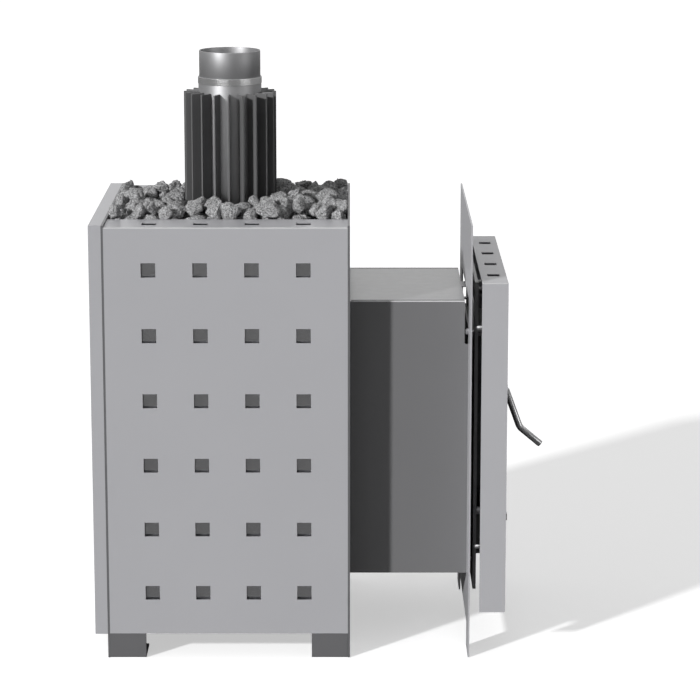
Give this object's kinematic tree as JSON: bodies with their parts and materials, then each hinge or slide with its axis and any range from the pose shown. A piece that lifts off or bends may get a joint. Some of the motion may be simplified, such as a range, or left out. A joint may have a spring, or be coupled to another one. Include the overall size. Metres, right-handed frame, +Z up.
{
  "type": "sauna heater",
  "caption": "Wood-burning sauna heater: perforated casing with stone bin and finned flue, fed from the next room through a tunnel with a glazed fuel door and ash drawer.",
  "frame": {"origin": "on the floor, under the middle of the whole heater's length and width", "axes": "+X along the fuel tunnel from the casing to the door, +Y to the side away from the picture's camera, +Z up"},
  "size_m": [0.8238, 0.5, 1.085],
  "materials": {
    "frame_paint": "satin dark grey paint",
    "casing_paint": "satin light grey heat-resistant paint",
    "screen_paint": "satin light grey heat-resistant paint",
    "shield_zinc": "galvanised sheet",
    "shield_paint": "satin mid grey paint",
    "foot_paint": "satin dark grey paint",
    "shroud_paint": "satin mid grey heat-resistant paint",
    "hot_black": "matt dark grey heat-resistant paint",
    "cast_iron": "rough cast surface",
    "flue_grey": "satin mid grey heat-resistant paint",
    "bright_zinc": "bright zinc plate",
    "dull_zinc": "dull zinc plate",
    "handle_steel": "darkened polished steel rod",
    "tray_steel": "plain mill steel, dulled by heat",
    "stone": "rough broken grey stone",
    "glass": "clear ceramic glass, dark inside",
    "gasket_rope": "knitted glass-fibre rope"
  },
  "bodies": {
    "heater": {"front_plate": "frame_paint", "rear_plate": "frame_paint", "portal_plate": "frame_paint", "side_panel_near": "casing_paint", "side_panel_far": "casing_paint", "rear_shield": "casing_paint", "wall_plate": "screen_paint", "front_screen": "screen_paint", "inner_shield_near": "shield_zinc", "inner_shield_far": "shield_zinc", "floor_shield": "shield_zinc", "stone_bin": "shield_paint", "feet": "foot_paint", "tunnel_shroud": "shroud_paint", "firebox_body": "hot_black", "firebox_roof": "hot_black", "mouth_collar": "hot_black", "fuel_duct": "hot_black", "duct_shelf": "hot_black", "base_rails": "hot_black", "baffle_bars": "hot_black", "flame_baffle": "hot_black", "hinge_lugs": "hot_black", "fire_grate": "cast_iron", "hearth_plate": "cast_iron", "firebox_liners": "cast_iron", "flue_collector": "flue_grey", "flue_fins": "flue_grey", "flue_collar": "flue_grey", "flue_spigot": "flue_grey", "clamp_band": "bright_zinc", "clamp_bolt": "bright_zinc", "panel_screws": "bright_zinc", "shield_bolts": "bright_zinc", "screen_studs": "bright_zinc", "screen_bolts": "bright_zinc", "hinge_pins": "bright_zinc", "latch_catch": "bright_zinc", "wall_plate_studs": "dull_zinc", "shield_spacers": "dull_zinc", "screen_standoffs": "dull_zinc", "lower_stones": "stone", "upper_stones": "stone"},
    "door": {"door_leaf": "hot_black", "door_backing": "bright_zinc", "door_glass": "glass", "glass_retainer": "bright_zinc", "door_gasket": "gasket_rope", "door_knuckles": "hot_black", "handle_bushing": "bright_zinc"},
    "handle": {"door_handle": "handle_steel", "latch_tongue": "bright_zinc", "latch_nut": "bright_zinc"},
    "drawer": {"ash_tray": "tray_steel", "drawer_front": "screen_paint", "drawer_pull": "handle_steel"}
  },
  "joints": [
    {"name": "door_hinge", "type": "hinge", "parent": "heater", "child": "door", "pos_m": [0.34512, 0.15, 0.431], "axis": [0, 0, 1], "range_deg": [0, 110]},
    {"name": "handle_turn", "type": "hinge", "parent": "door", "child": "handle", "pos_m": [0.33811, -0.108, 0.471], "axis": [-1, 0, 0], "range_deg": [0, 80]},
    {"name": "drawer_slide", "type": "slide", "parent": "heater", "child": "drawer", "axis": [1, 0, 0], "range_m": [0, 0.4]}
  ]
}
